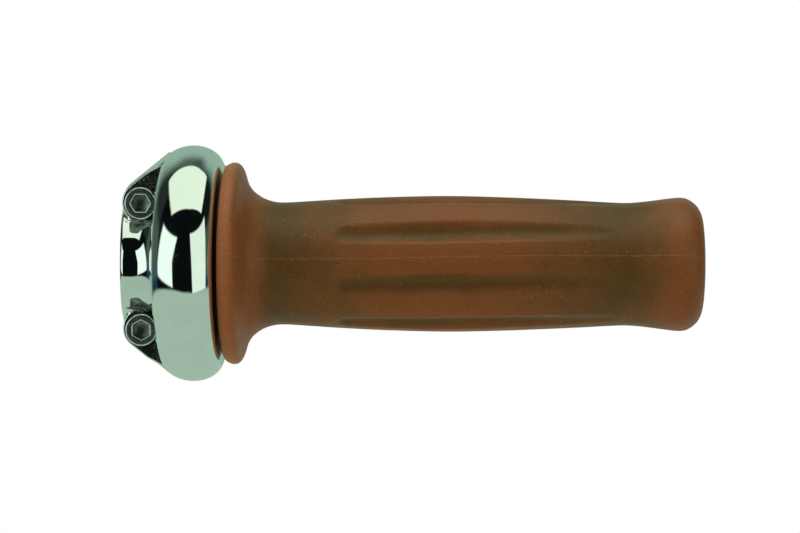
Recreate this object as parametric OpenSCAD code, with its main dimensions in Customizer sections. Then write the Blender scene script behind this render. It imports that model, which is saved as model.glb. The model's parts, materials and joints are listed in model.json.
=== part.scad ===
// Twist-grip throttle for a 7/8 inch (22.2 mm) handlebar, right hand.
// X runs along the handlebar towards the outer end of the grip, -Y faces
// the rider, Z is up. The origin is on the handlebar's axis, inside the
// clamp, 0.5 mm short of the plane of the two clamp screws. Angles round
// the handlebar are measured from +Y towards +Z, which is also the way the
// grip turns to open.

/* [Handlebar] */
// Radius of the handlebar that the clamp closes on
bar_r = 11.1; // [11:0.05:11.2]

/* [Housing] */
// Outer radius of the ring
ring_r = 29.5; // [29:0.25:31]
// Where the ring is widest, along the handlebar
ring_apex_x = 12.3; // [12:0.1:12.6]
// The ring's face towards the clamp
ring_left_x = 4.3; // [4:0.1:4.5]
// The ring's face towards the grip
ring_right_x = 19.3; // [19.3:0.1:19.5]
// Radius where the ring's crown meets its face towards the grip
ring_edge_r = 24.5; // [24:0.25:25.5]
// Radius where the ring's crown meets its face towards the clamp
ring_edge_l = 23.5; // [23:0.25:24.5]
// Outer radius of the half-round saddle over the handlebar
saddle_r = 14.1; // [13.8:0.1:14.2]
// Left end of the saddle
saddle_x = -4.6; // [-4.9:0.1:-4.2]
// Radius of the fillet between the saddle and the ring
saddle_fillet = 5.5; // [3:0.5:6.5]
// Half thickness of the clamp's ears
ear_t = 8.7; // [8.5:0.1:9.5]
// Corner radius of the ears, round the screws
ear_r = 6.1; // [5.7:0.1:6.2]
// Angle of the flare from the ears up to the ring
flare_a = 38.7; // [37:0.1:39.5]
// Gap that the screws close between the halves at the clamp
clamp_gap = 0.8; // [0.4:0.1:1.2]
// Radius of the drum's chamber
chamber_r = 22.5; // [22:0.1:22.8]
// Inner face of the chamber's wall at the clamp
chamber_x0 = 6.5; // [6.4:0.1:6.5]
// Inner face of the chamber's wall at the grip
chamber_x1 = 16.6; // [16.6:0.1:16.8]

/* [Clamp screws] */
// Where the plane of the screws is, along the handlebar
screw_x = 0.5; // [0:0.1:0.6]
// Distance of each screw from the handlebar's axis
screw_z = 15.6; // [15.5:0.1:15.8]
// Radius of the screw's head
screw_head_r = 3.95; // [3.9:0.05:4.2]
// Height of the screw's head
screw_head_h = 5; // [4:0.1:5]
// Nominal radius of the screw
screw_r = 2.5; // [2.4:0.05:2.5]
// Length under the head
screw_len = 16; // [12:1:17]
// Size of the hexagon socket across its flats
hex_af = 4; // [3.5:0.5:4]

/* [Throttle tube and drum] */
// Inner radius of the tube, which turns on the handlebar
tube_ri = 11.15; // [11.15:0.01:11.3]
// Outer radius of the tube
tube_ro = 12.5; // [12.3:0.1:12.6]
// Outer end of the tube
tube_x1 = 134; // [130:0.5:134.5]
// Radius of the drum's rims
drum_r = 21; // [20.5:0.1:21]
// Radius of the floor of the cable's groove
groove_r = 17.5; // [17:0.1:17.6]
// Width of the cable's groove
groove_w = 2.4; // [2:0.1:2.6]
// Radius of the drum's hub, which turns in the bush
hub_r = 14; // [13.8:0.05:14]
// Running clearance of the hub in the bush
run_c = 0.05; // [0.03:0.01:0.08]
// Twist from shut to fully open
twist_a = 80; // [60:5:85]

/* [Cable inlet] */
// Radius of the throttle cable's inner wire, with its lining
wire_r = 1; // [0.8:0.1:1.1]
// Outer radius of the inlet boss
boss_r = 6.2; // [6:0.1:6.4]
// End of the inlet boss
boss_y = 32; // [31.5:0.5:33]
// Nominal radius of the adjuster's thread
adj_r = 4; // [3.9:0.05:4]
// Radius of the adjuster's knurled head
adj_head_r = 5.8; // [5.5:0.1:6]
// Radius of the cable's outer sheath
sheath_r = 2.5; // [2.4:0.05:2.55]

/* [Friction device] */
// Direction of the friction screw below the horizontal
fric_a = 25; // [20:1:30]
// Where the friction screw stands along the handlebar
fric_x = 12.9; // [12.8:0.1:13]
// Nominal radius of the friction screw
fric_r = 2.5; // [2.3:0.1:2.5]
// Radius of the knurled head
fric_head_r = 6; // [5.5:0.1:6.2]

/* [Grip] */
// Left face of the flange
grip_x0 = 20; // [19.8:0.1:20]
// Tip of the grip's end
grip_x1 = 139.4; // [139:0.1:141]
// Radius of the flange
flange_r = 25.25; // [24.5:0.25:26]
// Radius of the neck beside the flange
neck_r = 15.3; // [15:0.1:15.6]
// Radius of the belly
belly_r = 16.95; // [16.8:0.05:17.3]
// Radius of the neck beside the end knob
waist_r = 15.3; // [15.2:0.1:15.6]
// Radius of the end knob
knob_r = 16.6; // [16.5:0.05:17]
// Number of finger flutes
flutes = 8; // [6:1:8]
// Radius of a flute's round section
flute_r = 3.6; // [3.2:0.1:3.8]
// Radius of the grip at the floor of the flutes
flute_floor_r = 15.4; // [15.3:0.05:15.6]
// Left end of the flutes
flute_x0 = 48; // [46:0.5:52]
// Right end of the flutes
flute_x1 = 118; // [112:0.5:119]

/* [Hidden] */
fit_c = 0.02;                       // clearance of pieces that are fixed together
big = 200;
inlet_z = groove_r + wire_r;        // the inner wire's line, at a tangent to the groove
groove_x0 = ring_apex_x - groove_w / 2;
groove_x1 = ring_apex_x + groove_w / 2;
drum_x0 = 7.6;                      // faces of the drum
drum_x1 = chamber_x1 - 0.6;
hub_x1 = 19.3;
bush_ro = 15.6;
seal_ri = 17;
seal_ro = 19.6;
stop_r = 15;                        // pitch radius of the stop pin
stop_a = 295;                       // where the stop pin stands
stop_pin_r = 1.5;
slot_end_a = asin((stop_pin_r + 0.12) / stop_r);
nipple_a = 112;                     // where the nipple's pocket stands when shut
dowel_z = 26.2;
dowel_r = 1.1;
flute_a0 = 7.5;                     // the mould line, which runs midway between two flutes
fric_seat = 31;                     // face of the friction screw's boss
fric_pocket = 26.5;                 // end of the shoe's pocket

// An elliptic arc from angle a0 to a1, as points [radius, x]
function arc(cr, cx, rr, rx, a0, a1, n = 10) =
    [for (i = [0:n]) let (a = a0 + (a1 - a0) * i / n) [cr + rr * sin(a), cx + rx * cos(a)]];

// Catmull-Rom curve through a list of points [x, radius]
function cr4(p0, p1, p2, p3, t) =
    0.5 * (2 * p1 + (p2 - p0) * t + (2 * p0 - 5 * p1 + 4 * p2 - p3) * t * t
           + (3 * p1 - p0 - 3 * p2 + p3) * t * t * t);
function smooth_line(p, n) =
    [for (i = [0:len(p) - 2], k = [0:n - 1])
        cr4(p[max(i - 1, 0)], p[i], p[i + 1], p[min(i + 2, len(p) - 1)], k / n),
     p[len(p) - 1]];

// A solid of revolution about X, from points [radius, x]
module turned(points) {
    rotate([0, 90, 0]) rotate_extrude($fn = 96) polygon(points);
}

// A ring about X
module ring(ri, ro, x0, x1) {
    turned([[ri, x0], [ro, x0], [ro, x1], [ri, x1]]);
}

// A rod along X, from x0 to x1
module rod_x(r, x0, x1, n = 48) {
    translate([x0, 0, 0]) rotate([0, 90, 0]) cylinder(r = r, h = x1 - x0, $fn = n);
}

// A rod along Y, from y0 to y1
module rod_y(r, y0, y1, n = 48) {
    translate([0, y0, 0]) rotate([-90, 0, 0]) cylinder(r = r, h = y1 - y0, $fn = n);
}

// Puts children drawn about +Y on the angle a round the handlebar
module at_angle(a) {
    rotate([a, 0, 0]) children();
}

// ---- housing ----

// Outline of one ear, in the plane X, Z
module ear_outline() {
    tx = screw_x - ear_r * sin(flare_a);
    tz = screw_z + ear_r * cos(flare_a);
    ex = ring_left_x + 1.7;
    translate([screw_x, screw_z]) circle(r = ear_r, $fn = 64);
    polygon([[screw_x - ear_r, 0], [screw_x - ear_r, screw_z], [tx, tz],
             [ex, tz + (ex - tx) * tan(flare_a)], [ex, 0]]);
}

module ears(t) {
    translate([0, t, 0]) rotate([90, 0, 0]) linear_extrude(height = 2 * t) {
        ear_outline();
        mirror([0, 1]) ear_outline();
    }
}

module housing_outside() {
    f = saddle_fillet;
    turned(concat(
        [[0, saddle_x], [saddle_r - 0.9, saddle_x], [saddle_r, saddle_x + 0.9]],
        [for (i = [0:8]) let (a = 90 * i / 8)
            [saddle_r + f - f * cos(a), ring_left_x - f + f * sin(a)]],
        arc(ring_edge_l, ring_apex_x, ring_r - ring_edge_l, ring_apex_x - ring_left_x, 180, 90),
        arc(ring_edge_r, ring_apex_x, ring_r - ring_edge_r, ring_right_x - ring_apex_x, 90, 0),
        [[0, ring_right_x]]));
    ears(ear_t);
}

module housing_hollows() {
    rod_x(bar_r, -big / 2, chamber_x0 + 1, 96);
    rod_x(chamber_r, chamber_x0, chamber_x1, 96);
    rod_x(bush_ro, chamber_x1 - 1, ring_right_x + 1, 96);
    ring(seal_ri, seal_ro, 18, ring_right_x + 1);
    for (s = [-1, 1]) translate([ring_apex_x, 0, s * dowel_z]) rod_y(dowel_r, -3.5, 3.5, 32);
}

module housing_front() {
    color([0.74, 0.78, 0.74]) difference() {
        intersection() {
            housing_outside();
            translate([-big / 2, -big, -big / 2]) cube([big, big, big]);
        }
        housing_hollows();
        // flats for the screws' heads, let into the fillet and the ring's face
        for (s = [0, 1]) mirror([0, 0, s]) {
            translate([screw_x, 0, screw_z]) rod_y(screw_head_r + 0.3, -big / 2, fit_c - ear_t, 64);
            translate([screw_x, -big / 2, 11.4])
                cube([screw_head_r + 0.2, big / 2 - ear_t + fit_c, screw_z - 11.4]);
        }
        // relief, so that the ears close on the handlebar
        translate([-big + 3, -clamp_gap / 2, -big / 2]) cube([big, big, big]);
        for (s = [-1, 1]) translate([screw_x, 0, s * screw_z]) rod_y(screw_r + 0.25, -big / 2, 1);
    }
}

module housing_rear() {
    color([0.74, 0.78, 0.74]) difference() {
        union() {
            intersection() {
                housing_outside();
                translate([-big / 2, 0, -big / 2]) cube([big, big, big]);
            }
            translate([ring_apex_x, 0, inlet_z]) rod_y(boss_r, 10, boss_y, 64);
            translate([fric_x, 0, 0]) at_angle(-fric_a) rod_y(5.4, 23, fric_seat, 64);
        }
        housing_hollows();
        translate([-big + 3, -big + clamp_gap / 2, -big / 2]) cube([big, big, big]);
        for (s = [-1, 1]) translate([screw_x, 0, s * screw_z]) rod_y(screw_r + 0.02, -1, big / 2);
        // thread for the cable's adjuster, and the wire's way to the drum
        translate([ring_apex_x, 0, inlet_z]) {
            rod_y(adj_r, 21, boss_y + 1);
            rod_y(2.9, 5, 21.5);
        }
        // thread for the friction screw, and the shoe's pocket
        translate([fric_x, 0, 0]) at_angle(-fric_a) {
            rod_y(fric_r, 20, fric_seat + 1);
            rod_y(3.4, 16, fric_pocket);
        }
        at_angle(stop_a) translate([0, stop_r, 0]) rod_x(stop_pin_r, 3.2, chamber_x0 + 1, 32);
    }
}

// ---- clamp screws and small steel parts ----

module cap_screw(turn) {
    difference() {
        union() {
            translate([0, -ear_t - screw_head_h, 0]) rotate([-90, 0, 0])
                rotate_extrude($fn = 64) polygon([
                    [0, 0], [screw_head_r - 0.5, 0], [screw_head_r, 0.5],
                    [screw_head_r, screw_head_h], [0, screw_head_h]]);
            translate([0, -ear_t - 0.5, 0]) rotate([-90, 0, 0])
                rotate_extrude($fn = 48) polygon([
                    [0, 0], [screw_r, 0], [screw_r, screw_len + 0.1],
                    [screw_r - 0.4, screw_len + 0.5], [0, screw_len + 0.5]]);
        }
        translate([0, -ear_t - screw_head_h - 1, 0]) rotate([-90, turn, 0])
            cylinder(r = hex_af / sqrt(3), h = 3.6, $fn = 6);
    }
}

module clamp_screws() {
    color([0.30, 0.33, 0.32]) {
        translate([screw_x, 0, screw_z]) cap_screw(0);
        translate([screw_x, 0, -screw_z]) cap_screw(30);
    }
}

module locating_dowels() {
    color([0.6, 0.6, 0.62])
        for (s = [-1, 1]) translate([ring_apex_x, 0, s * dowel_z]) rod_y(dowel_r, -3.4, 3.4, 32);
}

module stop_pin() {
    color([0.6, 0.6, 0.62]) at_angle(stop_a) translate([0, stop_r, 0]) rod_x(stop_pin_r, 3.3, 9.8, 32);
}

module inner_thrust_washer() {
    color([0.80, 0.76, 0.62]) ring(bar_r + 0.3, stop_r - stop_pin_r - 0.3, chamber_x0 + 0.05, drum_x0 - 0.1);
}

module outer_thrust_washer() {
    color([0.62, 0.62, 0.64]) ring(hub_r + 0.2, drum_r - 1, drum_x1 + 0.1, chamber_x1 - 0.02);
}

module drum_bush() {
    color([0.72, 0.55, 0.27]) ring(hub_r + run_c, bush_ro, chamber_x1 - 0.02, 19.2);
}

module dust_seal() {
    color([0.04, 0.04, 0.04]) ring(seal_ri + fit_c, seal_ro - fit_c, 18 + fit_c, ring_right_x + 0.2);
}

// ---- the turning grip ----

module throttle_tube() {
    color([0.05, 0.05, 0.05]) difference() {
        ring(tube_ri, tube_ro, drum_x0, tube_x1);
        drum_pin_holes();
    }
}

module drum_pin_holes() {
    for (a = [30, 150]) translate([9.3, 0, 0]) at_angle(a) rod_y(1.25, tube_ri - 1, drum_r + 1, 32);
}

module cable_drum() {
    color([0.66, 0.66, 0.68]) difference() {
        turned([[tube_ro + fit_c, drum_x0], [drum_r, drum_x0], [drum_r, groove_x0],
                [groove_r, groove_x0 + 0.5], [groove_r, groove_x1 - 0.5], [drum_r, groove_x1],
                [drum_r, drum_x1], [hub_r, drum_x1], [hub_r, hub_x1], [tube_ro + fit_c, hub_x1]]);
        // pocket for the cable's nipple
        at_angle(nipple_a) translate([0, inlet_z, 0]) rod_x(3.05, drum_x0 - 1, groove_x1 + 0.8);
        // slot for the stop pin, as long as the twist and the pin's own width
        rotate([stop_a - twist_a - slot_end_a, 0, 0]) rotate([0, 90, 0]) rotate([0, 0, 90])
            translate([0, 0, drum_x0 - 1])
                rotate_extrude(angle = twist_a + 2 * slot_end_a, $fn = 96)
                    translate([stop_r - stop_pin_r - 0.15, 0]) square([2 * stop_pin_r + 0.3, 3.7]);
        drum_pin_holes();
    }
}

module drum_pins() {
    color([0.6, 0.6, 0.62])
        for (a = [30, 150]) translate([9.3, 0, 0]) at_angle(a) rod_y(1.25 - fit_c, tube_ri + 0.2, drum_r - 0.3, 32);
}

// Radius of the grip along X, from the flange to the end
grip_line = smooth_line([
    [grip_x0, flange_r - 2], [grip_x0 + 0.3, flange_r - 1.1], [grip_x0 + 1, flange_r - 0.45],
    [grip_x0 + 2.4, flange_r], [grip_x0 + 3.65, flange_r - 0.35], [grip_x0 + 4.55, flange_r - 1.65],
    [grip_x0 + 5.5, neck_r + 5.35], [grip_x0 + 6.6, neck_r + 3.45], [grip_x0 + 7.7, neck_r + 2.35],
    [grip_x0 + 9.8, neck_r + 1], [grip_x0 + 12.8, neck_r + 0.1], [grip_x0 + 16, neck_r],
    [grip_x0 + 21, neck_r + 0.3], [grip_x0 + 29, neck_r + 0.8], [grip_x0 + 41, belly_r - 0.3],
    [grip_x0 + 56, belly_r], [grip_x0 + 71, belly_r - 0.35], [grip_x0 + 87, waist_r + 0.6],
    [grip_x0 + 97, waist_r + 0.05], [grip_x0 + 101, waist_r], [grip_x0 + 105, waist_r + 0.35],
    [grip_x0 + 110, knob_r - 0.3], [grip_x0 + 113, knob_r], [grip_x1 - 4.2, knob_r - 0.3],
    [grip_x1 - 2.2, knob_r - 1.65], [grip_x1 - 1.1, knob_r - 3.15], [grip_x1 - 0.5, knob_r - 4.95],
    [grip_x1 - 0.15, knob_r - 8.5]], 3);

module flute() {
    c = flute_floor_r + flute_r;
    translate([0, 0, c]) {
        rod_x(flute_r, flute_x0 + 3, flute_x1 - 3, 48);
        translate([flute_x0 + 3, 0, 0]) sphere(r = flute_r, $fn = 48);
        translate([flute_x1 - 3, 0, 0]) sphere(r = flute_r, $fn = 48);
    }
}

module grip_rubber() {
    color([0.42, 0.26, 0.15]) difference() {
        turned(concat([[tube_ro, grip_x0]], [for (p = grip_line) [p[1], p[0]]],
                      [[0, grip_x1], [0, tube_x1], [tube_ro, tube_x1]]));
        for (i = [0:flutes - 1])
            rotate([90 - flute_a0 + (i + 0.5) * 360 / flutes, 0, 0]) flute();
    }
}

// ---- friction device, drawn along +Y and turned to its angle ----

module fric_place() {
    translate([fric_x, 0, 0]) at_angle(-fric_a) children();
}

module friction_shoe() {
    color([0.35, 0.22, 0.12]) difference() {
        fric_place() rod_y(3.3, drum_r - 1, 25, 48);
        rod_x(drum_r + 0.15, 0, 30, 96);
    }
}

module friction_screw() {
    color([0.70, 0.71, 0.72]) fric_place() {
        rod_y(fric_r - 0.05, 25, 36);
        difference() {
            rod_y(fric_head_r, 35.5, 40.5, 64);
            translate([-10, 39.3, -0.6]) cube([20, 3, 1.2]);
        }
    }
}

module friction_locknut() {
    color([0.70, 0.71, 0.72]) fric_place() difference() {
        rod_y(8 / sqrt(3), fric_seat, fric_seat + 3, 6);
        rod_y(fric_r, fric_seat - 1, fric_seat + 4);
    }
}

// ---- cable inlet, drawn along +Y ----

module inlet_place() {
    translate([ring_apex_x, 0, inlet_z]) children();
}

module cable_guide() {
    color([0.85, 0.85, 0.80]) inlet_place() difference() {
        rod_y(2.88, 15.6, 20.9, 48);
        rod_y(wire_r + 0.3, 10, 30, 32);
    }
}

module cable_adjuster() {
    color([0.74, 0.76, 0.75]) inlet_place() difference() {
        union() {
            rod_y(adj_r - 0.05, 21.5, 38);
            rod_y(adj_head_r, 37, 46, 64);
        }
        rod_y(wire_r + 0.5, 20, 60, 32);
        rod_y(sheath_r + 0.65, 39, 60);
    }
}

module adjuster_locknut() {
    color([0.74, 0.76, 0.75]) inlet_place() difference() {
        rod_y(11 / sqrt(3), boss_y, boss_y + 3.5, 6);
        rod_y(adj_r, boss_y - 1, boss_y + 5);
    }
}

module cable_ferrule() {
    color([0.76, 0.60, 0.28]) inlet_place() difference() {
        union() {
            rod_y(sheath_r + 0.6, 39.05, 46);
            rod_y(sheath_r + 1.3, 46.05, 47);
            rod_y(sheath_r + 0.6, 45.5, 46.5);
        }
        rod_y(sheath_r + 0.1, 40, 60);
        rod_y(wire_r + 0.5, 30, 60, 32);
    }
}

housing_front();
housing_rear();
clamp_screws();
locating_dowels();
stop_pin();
inner_thrust_washer();
outer_thrust_washer();
drum_bush();
dust_seal();
throttle_tube();
cable_drum();
drum_pins();
grip_rubber();
friction_shoe();
friction_screw();
friction_locknut();
cable_guide();
cable_adjuster();
adjuster_locknut();
cable_ferrule();
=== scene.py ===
"""Twist-grip throttle: smooth meshes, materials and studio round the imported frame.

All shapes are worked out in millimetres and scaled to metres when a mesh is made.
X runs along the handlebar, -Y is towards the viewer, Z is up.
"""
import json
import math

import bpy
import numpy as np
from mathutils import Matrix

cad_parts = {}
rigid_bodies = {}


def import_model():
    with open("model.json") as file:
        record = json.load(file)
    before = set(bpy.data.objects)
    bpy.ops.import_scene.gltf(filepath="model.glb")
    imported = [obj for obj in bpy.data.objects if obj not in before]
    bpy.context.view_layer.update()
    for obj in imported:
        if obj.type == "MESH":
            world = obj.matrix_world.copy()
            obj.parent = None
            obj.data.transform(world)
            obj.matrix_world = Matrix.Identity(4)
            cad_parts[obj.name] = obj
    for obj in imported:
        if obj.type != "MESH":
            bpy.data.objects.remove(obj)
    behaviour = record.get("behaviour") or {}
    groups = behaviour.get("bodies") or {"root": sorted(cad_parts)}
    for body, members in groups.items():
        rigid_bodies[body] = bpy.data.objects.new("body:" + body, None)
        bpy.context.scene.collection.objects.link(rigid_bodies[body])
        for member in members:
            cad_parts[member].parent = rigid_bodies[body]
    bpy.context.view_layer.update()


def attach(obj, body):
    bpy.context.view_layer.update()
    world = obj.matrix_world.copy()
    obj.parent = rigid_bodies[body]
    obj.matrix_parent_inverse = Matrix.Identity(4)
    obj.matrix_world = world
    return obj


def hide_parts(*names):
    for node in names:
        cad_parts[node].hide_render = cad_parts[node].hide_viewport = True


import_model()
MM = 0.001


# ------------------------------------------------------------------ mesh making
def link(obj):
    bpy.context.scene.collection.objects.link(obj)
    return obj


def mesh_object(name, verts, faces, smooth=True):
    """verts in millimetres; faces as an integer array (n, 4), (n, 3) or a list."""
    me = bpy.data.meshes.new(name)
    v = np.asarray(verts, dtype=float) * MM
    if isinstance(faces, np.ndarray):
        n, k = faces.shape
        me.vertices.add(len(v))
        me.vertices.foreach_set("co", v.astype(np.float32).ravel())
        me.loops.add(n * k)
        me.loops.foreach_set("vertex_index", faces.astype(np.int32).ravel())
        me.polygons.add(n)
        me.polygons.foreach_set("loop_start", np.arange(0, n * k, k, dtype=np.int32))
        me.update(calc_edges=True)
    else:
        me.from_pydata(v.tolist(), [], faces)
    me.validate()
    me.update()
    if smooth:
        me.polygons.foreach_set("use_smooth", np.ones(len(me.polygons), dtype=bool))
    return link(bpy.data.objects.new(name, me))


def sharpen(obj, degrees):
    obj.data.set_sharp_from_angle(angle=math.radians(degrees))
    return obj


def attribute(obj, name, values):
    """A float attribute, one value per vertex."""
    a = obj.data.attributes.new(name, "FLOAT", "POINT")
    a.data.foreach_set("value", np.asarray(values, dtype=np.float32))


# ------------------------------------------------- implicit shapes, dual contoured
def rmin(a, b, r):
    """Union of two distances, with a hollow fillet of radius r."""
    return np.maximum(r, np.minimum(a, b)) - np.hypot(np.maximum(r - a, 0), np.maximum(r - b, 0))


def rmax(a, b, r):
    """Intersection of two distances, with a rounded edge of radius r."""
    return np.minimum(-r, np.maximum(a, b)) + np.hypot(np.maximum(r + a, 0), np.maximum(r + b, 0))


def smin(a, b, k):
    h = np.clip(0.5 + 0.5 * (b - a) / k, 0, 1)
    return b + (a - b) * h - k * h * (1 - h)


def gradient(f, p, e=0.01):
    g = np.empty_like(p)
    for i in range(3):
        d = np.zeros(3)
        d[i] = e
        g[:, i] = f(*(p + d).T) - f(*(p - d).T)
    return g / np.maximum(np.linalg.norm(g, axis=1, keepdims=True), 1e-12)


def dual_contour(name, f, xs, ys, zs):
    """A quad mesh of f = 0 on a box grid. Each cell's vertex is where its crossings' tangent planes meet, so edges stay crisp."""
    shape = (len(xs), len(ys), len(zs))
    X, Y, Z = np.meshgrid(xs, ys, zs, indexing="ij")
    F = f(X.ravel(), Y.ravel(), Z.ravel()).reshape(shape)
    F[F == 0] = 1e-9
    inside = F < 0
    grid = (xs, ys, zs)
    cells = np.array([n - 1 for n in shape])
    flat = lambda i, j, k: (i * cells[1] + j) * cells[2] + k
    quads, owners, points = [], [], []
    for axis in range(3):
        a = [slice(None)] * 3
        b = [slice(None)] * 3
        a[axis], b[axis] = slice(0, -1), slice(1, None)
        cross = np.argwhere(inside[tuple(a)] != inside[tuple(b)])
        u, w = (axis + 1) % 3, (axis + 2) % 3
        ok = (cross[:, u] > 0) & (cross[:, w] > 0) & (cross[:, u] < cells[u]) & (cross[:, w] < cells[w])
        cross = cross[ok]
        if not len(cross):
            continue
        ends = cross.copy()
        ends[:, axis] += 1
        p0 = np.stack([grid[i][cross[:, i]] for i in range(3)], axis=1)
        p1 = np.stack([grid[i][ends[:, i]] for i in range(3)], axis=1)
        f0, f1 = F[tuple(cross.T)], F[tuple(ends.T)]
        lo, hi, flo, fhi = np.zeros(len(cross)), np.ones(len(cross)), f0.copy(), f1.copy()
        for step in range(5):  # regula falsi and bisection in turn, since some shapes have creases
            t = lo + (hi - lo) * (flo / (flo - fhi)) if step % 2 == 0 else (lo + hi) / 2
            ft = f(*(p0 + (p1 - p0) * t[:, None]).T)
            same = (ft < 0) == (flo < 0)
            lo, flo = np.where(same, t, lo), np.where(same, ft, flo)
            hi, fhi = np.where(same, hi, t), np.where(same, fhi, ft)
        t = lo + (hi - lo) * (flo / (flo - fhi))
        points.append(p0 + (p1 - p0) * t[:, None])
        ring = []
        for du, dw in ((0, 0), (-1, 0), (-1, -1), (0, -1)):
            c = cross.copy()
            c[:, u] += du
            c[:, w] += dw
            ring.append(flat(c[:, 0], c[:, 1], c[:, 2]))
        ring = np.stack(ring, axis=1)
        owners.append(ring)
        out = f0 < 0  # the normal points along +axis where the low end is inside
        quads.append(np.where(out[:, None], ring, ring[:, ::-1]))
    points = np.concatenate(points)
    owners = np.concatenate(owners)
    quads = np.concatenate(quads)
    normals = gradient(f, points, 0.004)
    used, index = np.unique(owners, return_inverse=True)
    index = index.reshape(owners.shape)
    n = len(used)
    ATA, ATb = np.zeros((n, 3, 3)), np.zeros((n, 3))
    mass, count = np.zeros((n, 3)), np.zeros(n)
    for k in range(4):
        np.add.at(mass, index[:, k], points)
        np.add.at(count, index[:, k], 1)
    centre = mass / count[:, None]
    outer = normals[:, :, None] * normals[:, None, :]
    for k in range(4):
        i = index[:, k]
        d = np.einsum("ij,ij->i", normals, points - centre[i])
        np.add.at(ATA, i, outer)
        np.add.at(ATb, i, normals * d[:, None])
    ATA += np.eye(3) * 0.02
    move = np.linalg.solve(ATA, ATb[:, :, None])[:, :, 0]
    ci = np.stack(np.unravel_index(used, cells), axis=1)
    low = np.stack([grid[i][ci[:, i]] for i in range(3)], axis=1)
    high = np.stack([grid[i][ci[:, i] + 1] for i in range(3)], axis=1)
    v = np.clip(centre + move, low, high)
    quads = np.searchsorted(used, quads)
    return v, quads


def settle(f, v, quads, rounds=3):
    """Vertices on smooth ground are evened out and put exactly on f = 0; those on a crease stay."""
    n = gradient(f, v, 0.01)
    fv = v[quads]
    fn = np.cross(fv[:, 2] - fv[:, 0], fv[:, 3] - fv[:, 1])
    fn /= np.maximum(np.linalg.norm(fn, axis=1, keepdims=True), 1e-12)
    worst = np.ones(len(v))
    for k in range(4):
        np.minimum.at(worst, quads[:, k], np.einsum("ij,ij->i", fn, n[quads[:, k]]))
    smooth = worst > 0.93
    for _ in range(rounds):
        acc, cnt = np.zeros_like(v), np.zeros(len(v))
        for k in range(4):
            for o in (1, 3):
                np.add.at(acc, quads[:, k], v[quads[:, (k + o) % 4]])
                np.add.at(cnt, quads[:, k], 1)
        target = acc / cnt[:, None]
        w = np.where(smooth, 0.5, 0.0)[:, None]
        v = v + (target - v) * w
        for _ in range(2):
            e = 0.01
            g = np.empty_like(v)
            for i in range(3):
                d = np.zeros(3)
                d[i] = e
                g[:, i] = (f(*(v + d).T) - f(*(v - d).T)) / (2 * e)
            val = f(*v.T)
            v = v - np.where(smooth, val / np.maximum((g * g).sum(1), 0.05), 0.0)[:, None] * g
    return v, smooth


def implicit_object(name, f, xs, ys, zs):
    v, quads = dual_contour(name, f, xs, ys, zs)
    v, smooth = settle(f, v, quads)
    obj = mesh_object(name, v, quads)
    me = obj.data
    if len(me.polygons) == len(quads):
        # normals from the shape itself, and from just inside the face beside a crease
        centres = v[quads].mean(axis=1)
        at = v[quads] * 0.6 + centres[:, None, :] * 0.4
        crease = gradient(f, at.reshape(-1, 3), 0.006).reshape(-1, 4, 3)
        even = gradient(f, v, 0.02)[quads]
        n = np.where(smooth[quads][:, :, None], even, crease)
        me.normals_split_custom_set(n.reshape(-1, 3).tolist())
    return obj


# ------------------------------------------------------------------ housing
RING_X, RING_L, RING_R, RING_EDGE_L, RING_EDGE, RING_TOP = 12.3, 4.3, 19.3, 23.5, 24.5, 29.5
SADDLE_R, SADDLE_X, PAD_Y, SCREW_X, SCREW_Z, EAR_R, HEAD_R = 14.1, -4.6, 8.7, 0.5, 15.6, 6.1, 3.95
BAR_R, CHAMBER_R, CHAMBER_X0, CHAMBER_X1, BUSH_R = 11.1, 22.5, 6.5, 16.6, 15.6
INLET_Z, INLET_R, INLET_Y = 18.5, 6.2, 32.0
FRIC_A, FRIC_X, FRIC_SEAT = math.radians(25), 12.9, 31.0
STOP_A, STOP_R = math.radians(295), 15.0


def ring_shape(x, rad):
    """The ring's crown: two quarter ellipses on a disc."""
    dx = x - RING_X
    a = np.where(dx < 0, RING_X - RING_L, RING_R - RING_X)
    edge = np.where(dx < 0, RING_EDGE_L, RING_EDGE)
    b = RING_TOP - edge
    dy = np.maximum(rad - edge, 0)
    g = np.sqrt((dx / a) ** 2 + (dy / b) ** 2)
    n = np.sqrt((dx / a**2) ** 2 + (dy / b**2) ** 2)
    return np.where(n > 1e-5, g * (g - 1) / np.maximum(n, 1e-5), -a)


def ear_shape(x, y, z):
    """The clamp's ears: rounded round the screws, flared up to the ring, with draft towards the pads."""
    px, pz = x - SCREW_X, np.abs(z) - SCREW_Z
    tx, tz = 0.7809, 0.6247
    along, out = px * tx + pz * tz, -px * tz + pz * tx
    edge = np.where(pz < 0, np.where(px < 0, np.hypot(px, pz), -px), np.where(along < 0, np.hypot(px, pz), out))
    edge = np.where((px > 0) & (out < 0), np.maximum(-px, out), edge)
    draft = (0.95 + 0.2 * np.clip(px - 1.0, 0, 6)) * np.minimum(np.abs(y) / PAD_Y, 1.1)
    return edge - (EAR_R - draft)


def flat_outline(x, z):
    """Round each screw's head, and on to the ring's face: negative inside."""
    px, pz = x - SCREW_X, np.abs(z) - SCREW_Z
    box = np.maximum(np.maximum(-px, px - HEAD_R - 0.2), np.maximum(pz, 11.4 - np.abs(z)))
    return np.minimum(np.hypot(px, pz) - HEAD_R - 0.3, box)


def pad_depth(x, y, z, side):
    """How far inside the dark face a point is, in millimetres; only true near the plane of that face."""
    rad = np.hypot(y, z)
    q = np.minimum(-smin(ring_shape(x, rad), ear_shape(x, y, z), 0.7), rad - SADDLE_R)
    if side < 0:
        q = np.maximum(q, 0.28 - flat_outline(x, z))
        q = np.minimum(q, rad - SADDLE_R)
    return q


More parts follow.
